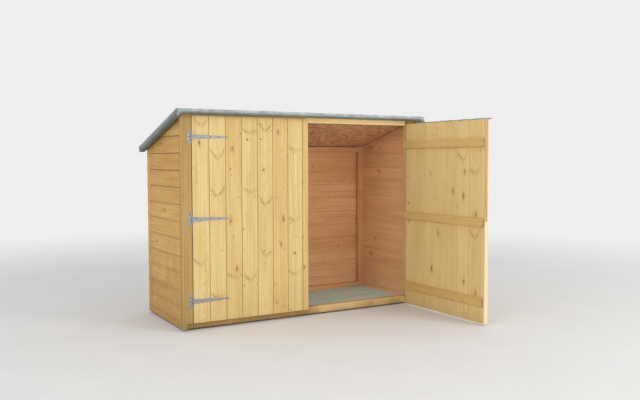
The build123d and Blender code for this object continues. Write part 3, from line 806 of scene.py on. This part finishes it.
def edge_bead(label):
    """A thin strip nailed inside the closing edge, from the foot to the middle ledge, its top rounded."""
    pin, along, inward = door_frame(label)
    width, proud, tall = 13.0, 4.2, HINGE_HEIGHTS["middle"] + 14.0
    origin = pin + along * (CLOSING_EDGE - width) + inward * (DOOR_BACK - 0.2) + UP * (DOORS[label]["bottom"] + 2.0)

    def rounded(a, c, d):
        top = max(0.0, a - tall + 10.0) / 10.0
        return -6.0 * top * abs(c / width - 0.5) * 2, 0.0, -top * 2.0 if d > 1.0 else 0.0

    work = Joinery()
    outline = [(0, 0), (width, 0), (width, -13.0), (width + 1.0, -13.0), (width + 1.0, proud - 1.4)]
    outline += [(width - 0.4, proud), (width / 2, proud + 0.2), (1.2, proud), (0, proud - 1.2)]
    work.add(outline, tall, origin, UP, along, inward, stations=40, middle=width / 2, shape=rounded, tone=0.0)
    as_piece(work.mesh, f"{label}_door_edge_bead", [lath_wood], f"{label}_door", "door_boards")


closing_lath("right")
edge_bead("right")
for label in DOORS:
    matchboards(label)
    for place, height in HINGE_HEIGHTS.items():
        ledge(label, place, height)


# ---- roof ----
def roof_point(x, v, w):
    """x is across, v down the slope from the front edge, w up from the roof's plane."""
    return ROOF_EDGE + EAST * x + DOWN_SLOPE * v + SLOPE * w


def roof_batten(place):
    """A batten under the roof board's edge, in the roof's slope."""
    node = f"roof_batten_{place}"
    work = Joinery()
    under, last = -FELT - ROOF_BOARD, ROOF_RUN - FELT
    if place in ("front", "back"):
        deep, tall, ease = LIP_DEPTH, LIP_HEIGHT, 0.8
        outline = [(ease, 0), (deep - ease, 0), (deep, ease), (deep, tall - ease), (deep - ease, tall), (7.0, tall),
                   (1.6, tall - 5.0), (0.9, 3.0)]
        start, way = (FELT, DOWN_SLOPE) if place == "front" else (last, -DOWN_SLOPE)
        work.add(outline, 2 * VERGE_INNER, roof_point(-VERGE_INNER, start, under), EAST, way, -SLOPE, middle=9)
    else:
        side = DOORS[place]["side"]
        work.add(eased(ROOF_HALF - FELT - VERGE_INNER, VERGE_HEIGHT, 0.8), last - FELT,
                 roof_point(side * VERGE_INNER, FELT, under), DOWN_SLOPE, EAST * side, -SLOPE, middle=17)
    as_piece(work.mesh, node + "_piece", [rail_wood], "shelter", "frame_timber", node)


def roof_cover():
    """One sheet of felt dressed over the roof, down its four edges and back under the battens."""
    mesh = bmesh.new()
    sheen_and_bleach = mesh.verts.layers.float.new("sheen_and_bleach")
    half, run, soft = ROOF_HALF, ROOF_RUN, 3.4
    columns, rows = 88, 42
    inner = [-VERGE_INNER + 0.6 + (2 * VERGE_INNER - 1.2) * i / columns for i in range(columns + 1)]
    xs = [-half + soft, -half + 18, -VERGE_INNER, *inner, VERGE_INNER, half - 18, half - soft]
    vs = [soft + (run - 2 * soft) * j / rows for j in range(rows + 1)]
    nx, nv = len(xs) - 1, len(vs) - 1

    def ripple(x, v):
        rise = wander(x * 0.006, v * 0.009, 1.7) * 1.1
        return min(0.0, rise + wander(x * 0.02, v * 0.02, 6.1) * 0.4 - 0.5)

    def vert(x, v, w, pale=0.0):
        made = mesh.verts.new(roof_point(x, v, w) * MM)
        made[sheen_and_bleach] = pale
        return made

    top = {}
    # The two front rows of the top take painted sheen along the front edge.
    for i, x in enumerate(xs):
        for j, v in enumerate(vs):
            edge = min(i, nx - i, j, nv - j)
            top[i, j] = vert(x, v, ripple(x, v) * min(1.0, edge / 2), {0: 0.7, 1: 0.35}.get(j, 0.0))
    for i in range(nx):
        for j in range(nv):
            mesh.faces.new((top[i, j], top[i + 1, j], top[i + 1, j + 1], top[i, j + 1]))
    rim = [(i, 0) for i in range(nx)] + [(nx, j) for j in range(nv)]
    rim += [(i, nv) for i in range(nx, 0, -1)] + [(0, j) for j in range(nv, 0, -1)]

    def is_verge(i):
        return i <= 2 or i >= nx - 2

    def ring(spread, share, wave, pale, tuck):
        """The sheet's edge at a share of its drop, standing out by spread and pulled in by tuck at a lip."""
        made = []
        for i, j in rim:
            deep, pull = (VERGE_DROP, 0.0) if is_verge(i) else (LIP_DROP, tuck)
            bulge = abs(wander(xs[i] * 0.010, vs[j] * 0.010, share * 1.3 + 3.0)) * wave
            out_x = -1 if i == 0 else 1 if i == nx else 0
            out_v = -1 if j == 0 else 1 if j == nv else 0
            x = xs[i] + out_x * (spread - bulge)
            v = vs[j] + out_v * (spread - bulge - pull)
            # Painted sheen, not wear: the front drop gets lighter towards the right, the verges a little, broken up
            # by noise.
            sheen_share = 0.62 + 0.19 * (x / half + 1) if j == 0 else 0.38 if is_verge(i) and out_x else 0.0
            sheen_share *= 1.0 + 0.9 * wander(x * 0.02, v * 0.02, share * 2.0)
            made.append(vert(x, v, -deep * share, pale * sheen_share))
        return made

    def hem(rise):
        """The sheet's hidden edge on the battens' inner side."""
        made = []
        for i, j in rim:
            keep = FELT if is_verge(i) else FELT + LIP_DEPTH
            x, deep = (math.copysign(VERGE_INNER, xs[i]), VERGE_DROP) if is_verge(i) else (xs[i], LIP_DROP)
            made.append(vert(x, max(keep, min(run - keep, vs[j])), rise - deep))
        return made

    rings = [[top[key] for key in rim]]
    # pale is each ring's share of the painted sheen: the upper drop takes it and the lower rings that turn under take
    # none, a painted lit upper part and shaded lower part.
    for spread, share, wave, pale, tuck in (
        (soft * 0.55, 0.03, 0.0, 0.85, 0.0), (soft, 0.11, 0.3, 1.0, 0.0), (soft, 0.30, 1.1, 1.0, 0.1),
        (soft, 0.50, 1.1, 0.85, 0.4), (soft, 0.66, 1.1, 0.25, 0.8), (soft, 0.82, 0.8, 0.0, 1.8),
        (soft, 0.95, 0.3, 0.0, 5.6), (soft - 1.2, 1.0, 0.2, 0.0, 7.6),
    ):
        rings.append(ring(spread, share, wave, pale, tuck))
    rings += [hem(0.0), hem(FELT)]
    for upper, lower in zip(rings, rings[1:]):
        for k in range(len(rim)):
            following = (k + 1) % len(rim)
            points = (upper[k], upper[following], lower[following], lower[k])
            if len({tuple(round(c, 6) for c in point.co) for point in points}) > 2:
                mesh.faces.new(points)
    bmesh.ops.remove_doubles(mesh, verts=mesh.verts, dist=2e-6)
    bmesh.ops.recalc_face_normals(mesh, faces=mesh.faces)
    for face in mesh.faces:
        face.smooth = True
    as_piece(mesh, "roof_felt_sheet", [roof_felt], "shelter", "roofing_felt", "roof_felt")


def felt_folds():
    """At each corner the spare felt is folded flat on the verge, and its end hangs a little below."""
    mesh = bmesh.new()
    sheen_and_bleach = mesh.verts.layers.float.new("sheen_and_bleach")

    def vert(x, v, w):
        return mesh.verts.new(roof_point(x, v, w) * MM)

    deep = VERGE_DROP
    for side in (-1, 1):
        x = side * ROOF_HALF
        for start, way, hang in ((0.0, 1, 7.0), (ROOF_RUN, -1, 3.0)):
            reach = 44.0 + side * 5.0
            points = ((0.8, -2.5), (reach * 0.5, -3.5), (reach, -deep * 0.75), (reach * 0.8, -deep - 0.4),
                      (12.0, -deep - hang), (0.8, -deep - hang * 0.8))
            lifts = [1.3 + 0.5 * wander(v * 0.1, w * 0.1, side + start) for v, w in points]
            skin(mesh, [[vert(x - side * 0.9, start + way * v, w) for v, w in points],
                        [vert(x + side * lift, start + way * v, w) for lift, (v, w) in zip(lifts, points)]])
    # The front drop's end, turned in behind the front corners
    low = LIP_DROP - FELT
    for side in (-1, 1):
        points = ((0.0, 4.0 - low), (0.0, -deep - 6.0), (9.0, -deep - 4.0), (17.0, -low - 3.0), (21.0, 4.0 - low))
        near, far = (
            [vert(side * (ROOF_HALF - 1.0 - step), v + 1.2 * (k % 2), w) for k, (step, w) in enumerate(points)]
            for v in (-0.6, 1.0)
        )
        # Painted highlight on the turned-in front corners.
        for corner in near:
            corner[sheen_and_bleach] = 0.6
        skin(mesh, [near, far])
    bmesh.ops.recalc_face_normals(mesh, faces=mesh.faces)
    as_piece(mesh, "felt_corner_folds", [roof_felt], "shelter", "roofing_felt")


def drip_strip(label):
    """A narrow offcut of felt along the door's head, a little wavy, its end standing past the closing edge."""
    pin, along, inward = door_frame(label)
    mesh = bmesh.new()
    sheen_and_bleach = mesh.verts.layers.float.new("sheen_and_bleach")
    steps, lanes, thick, start, end = 74, 4, 6.0, 118.0, CLOSING_EDGE + 19.0
    rings = []
    for k in range(steps + 1):
        s = start + (end - start) * k / steps
        near = DOOR_BACK - 0.5 if s < CLOSING_EDGE - 8.0 else 3.2
        far = DOOR_FACE - LATH_THICKNESS - 0.8 if s > CLOSING_EDGE - LATH_WIDTH else DOOR_FACE - 1.5
        lower, upper = [], []
        for j in range(lanes + 1):
            d = far + (near - far) * j / lanes
            wave = 2.2 * wander(s * 0.018, d * 0.04, 3.0) + 0.9 * wander(s * 0.09, d * 0.1, 8.0)
            for row, rise in ((lower, 0.15), (upper, 0.15 + thick + max(-2.0, wave))):
                vert = mesh.verts.new((pin + along * s + inward * d + UP * (DOORS[label]["top"] + rise)) * MM)
                vert[sheen_and_bleach] = max(0.0, 0.35 + 0.9 * wander(s * 0.05, d * 0.05, 5.0))
                row.append(vert)
        rings.append(lower + upper[::-1])
    skin(mesh, rings)
    bmesh.ops.recalc_face_normals(mesh, faces=mesh.faces)
    as_piece(mesh, f"{label}_door_drip_strip", [roof_felt], f"{label}_door", "roofing_felt")


for place in ("front", "back", "left", "right"):
    roof_batten(place)
roof_cover()
felt_folds()
drip_strip("right")


# ---- fixings ----
BESIDE_STRAP = 22.0
SCREW = [(4.1, -1.6), (4.2, 0.2), (3.6, 0.9), (2.5, 1.3), (2.4, 1.25), (2.1, 0.5), (0.9, 0.45)]
NAIL = [(2.0, -1.0), (2.0, 0.25), (1.6, 0.45), (0.7, 0.5)]
CLOUT = [(4.6, -0.5), (4.8, 0.5), (3.8, 1.0), (1.4, 1.2)]


def turned(profile, spots, name, material, body, sides=12, cross=False):
    """Small round heads at (place, outward) spots, turned from (radius, height) steps."""
    mesh = bmesh.new()
    for place, outward in spots:
        side = outward.orthogonal().normalized()
        other = outward.cross(side)
        spin = chance.random() * math.pi
        rings = []
        for radius, height in profile:
            rings.append([])
            for k in range(sides):
                turn = spin + 2 * math.pi * k / sides
                narrow = 0.42 if cross and radius < profile[0][0] * 0.62 and k % 3 else 1.0
                point = place + outward * height + (side * math.cos(turn) + other * math.sin(turn)) * radius * narrow
                rings[-1].append(mesh.verts.new(point * MM))
        skin(mesh, rings)
    bmesh.ops.recalc_face_normals(mesh, faces=mesh.faces)
    as_piece(mesh, name, [material], body, "zinc_steel")


for label, facts in DOORS.items():
    pin, along, inward = door_frame(label)
    levels = [facts["bottom"] + height for height in HINGE_HEIGHTS.values()]
    plate = pin + EAST * facts["side"] * PLATE_HOLES_OUT + NORTH * 2.5
    strap_spots = [(pin + along * step + inward * (DOOR_FACE - 2.5) + UP * (z + rise), -inward)
                   for z in levels for step, rise in STRAP_HOLES]
    plate_spots = [(plate + UP * (z + step * PLATE_HOLE_PITCH), -NORTH) for z in levels for step in (-1, 0, 1)]
    turned(SCREW, strap_spots, f"{label}_strap_screws", screw_zinc, f"{label}_door", cross=True)
    turned(SCREW, plate_spots, f"{label}_plate_screws", screw_zinc, "shelter", cross=True)
    door_nails = []
    last = len(DOOR_MARKS[label]) - 1
    for k in range(last + 1):
        middle = DOOR_EDGE + k * MATCHBOARD + (MATCHBOARD / 2 if k < last else 22.0)
        for z in levels:
            for shift in (-26.0, 26.0) if k < last else (0.0,):
                jog = chance.uniform(-4, 4)
                rise = chance.choice((-12.0, 12.0)) + chance.uniform(-3, 3)
                if middle + shift < STRAP_END:
                    rise = BESIDE_STRAP
                spot = pin + along * (middle + shift + jog) + UP * (z + rise)
                door_nails.append((spot + inward * DOOR_FACE, -inward))
    turned(NAIL, door_nails, f"{label}_door_nails", nail_steel, f"{label}_door", sides=8)

# Each overlap board is nailed a little above its lower edge, where the roof leaves room
wall_nails = []
for side in (-1, 1):
    for z in board_feet(SIDE_FOOT, FIRST_SIDE_BOARD, 1330.0):
        for y in (FRONT + 16.0, 283.0):
            if z + 62.0 < ROOF_TOP - (y - ROOF_FRONT) * math.tan(ROOF_PITCH):
                spot = Vector((side * (HALF_WIDTH - 1.6), y + chance.uniform(-3, 3), z + 26 + chance.uniform(-3, 3)))
                wall_nails.append((spot, EAST * side))
for z in board_feet(BACK_FOOT, BOARD_PITCH, 1150.0):
    for x in (-884.0, 0.0, 884.0):
        spot = Vector((x + chance.uniform(-4, 4), BACK - 1.6, z + 26 + chance.uniform(-3, 3)))
        wall_nails.append((spot, NORTH))
for side in (-1, 1):
    for z in (95.0, 380.0, 690.0, 985.0, 1290.0):
        for x in (HALF_WIDTH - 14.0, HALF_WIDTH - 48.0):
            spot = Vector((side * (x + chance.uniform(-3, 3)), FRONT - 22.0, z + chance.uniform(-9, 9)))
            wall_nails.append((spot, -NORTH))
turned(NAIL, wall_nails, "cladding_nails", nail_steel, "shelter", sides=8)

clouts = [(roof_point(side * (ROOF_HALF - 22), 45 + k * 93.0, -VERGE_DROP), -SLOPE)
          for k in range(9) for side in (-1, 1)]
for x in range(-870, 871, 145):
    clouts += [(roof_point(x, 14, -LIP_DROP), -SLOPE), (roof_point(x, ROOF_RUN, -LIP_DROP * 0.55), DOWN_SLOPE)]
turned(CLOUT, clouts, "felt_clouts", zinc, "shelter")

# ---- solids that are shown as they are ----
for name, shown in nodes.items():
    coat = zinc if "hinge" in name else strand if name == "roof_board" else None
    if coat:
        shown.data.materials.clear()
        shown.data.materials.append(coat)

# ---- stage, light and camera ----
BACKDROP = (0.86, 0.86, 0.855, 1)


def stage_floor(reach=40.0):
    """A pale floor that turns into the plain backdrop away from the object, for whatever sees it."""
    data = bpy.data.meshes.new("stage_floor")
    data.from_pydata([(x * reach, y * reach, 0) for x, y in ((-1, -1), (1, -1), (1, 1), (-1, 1))], [], [(0, 1, 2, 3)])
    made = bpy.data.objects.new("stage_floor", data)
    bpy.context.scene.collection.objects.link(made)
    material, net, shader = new_material("pale floor")
    place = net.here()
    grain = net.noise(net.scaled(place, (3.0, 3.0, 3.0)), detail=4.0)
    colour = net.mix(grain, (0.72, 0.71, 0.70, 1), (0.77, 0.765, 0.755, 1))
    for key, value in (("Base Color", colour), ("Roughness", 0.9), ("Specular IOR Level", 0.1)):
        net.feed(shader.inputs[key], value)
    far = net.remap(net.vector("LENGTH", place), 2.2, 6.5)
    plain = net.place("ShaderNodeEmission", {"Color": BACKDROP, "Strength": 1.0})
    both = {0: far * net.seen(), 1: Wire(net, shader.outputs[0]), 2: plain}
    net.feed(net.tree.nodes["Material Output"].inputs[0], net.place("ShaderNodeMixShader", both))
    data.materials.append(material)


def soft_lamp(name, place, target, size, power, colour):
    data = bpy.data.lights.new(name, "AREA")
    data.shape = "RECTANGLE"
    data.size, data.size_y = size
    data.energy = power
    data.color = colour
    made = bpy.data.objects.new(name, data)
    made.location = place
    made.rotation_euler = (Vector(target) - Vector(place)).to_track_quat("-Z", "Y").to_euler()
    bpy.context.scene.collection.objects.link(made)


def studio():
    """The plain backdrop for what looks straight at it, and a dimmer, cooler light from all around."""
    world = bpy.data.worlds.new("studio")
    bpy.context.scene.world = world
    world.use_nodes = True
    world.node_tree.nodes.clear()
    sky = Net(world.node_tree)
    backdrop = sky.place("ShaderNodeBackground", {"Color": BACKDROP, "Strength": 1.0})
    around = sky.place("ShaderNodeBackground", {"Color": (0.98, 0.99, 1.0, 1), "Strength": 0.80})
    sky.node("ShaderNodeOutputWorld", {0: sky.place("ShaderNodeMixShader", {0: sky.seen(), 1: around, 2: backdrop})})


def photo_camera():
    """The camera fitted to the photograph: angles in radians, the rest in metres and millimetres of lens."""
    yaw, pitch, roll = 0.529, 0.056, 0.002
    forward = Vector((math.sin(yaw) * math.cos(pitch), math.cos(yaw) * math.cos(pitch), -math.sin(pitch)))
    right = Vector((math.cos(yaw), -math.sin(yaw), 0))
    down = forward.cross(right)
    turned_right = math.cos(roll) * right + math.sin(roll) * down
    turned_down = -math.sin(roll) * right + math.cos(roll) * down
    data = bpy.data.cameras.new("camera")
    data.sensor_width = 36
    data.lens = 40.655
    made = bpy.data.objects.new("camera", data)
    bpy.context.scene.collection.objects.link(made)
    placed = Matrix((turned_right, -turned_down, -forward)).transposed().to_4x4()
    placed.translation = Vector((-2.45796, -4.73404, 1.09626))
    made.matrix_world = placed
    bpy.context.scene.camera = made


stage_floor()
soft_lamp("key", (3.6, -6.0, 3.5), (0.0, -0.3, 0.6), (2.4, 2.2), 128.0, (1.0, 0.98, 0.95))
soft_lamp("left fill", (-5.2, -3.4, 2.6), (0.0, 0.0, 0.6), (3.0, 2.4), 70.0, (0.97, 0.98, 1.0))
soft_lamp("front fill", (0.6, -6.6, 0.9), (0.4, 0.3, 0.6), (3.6, 1.6), 85.0, (1.0, 0.99, 0.97))
studio()
photo_camera()
bpy.context.scene.view_settings.view_transform = "Standard"
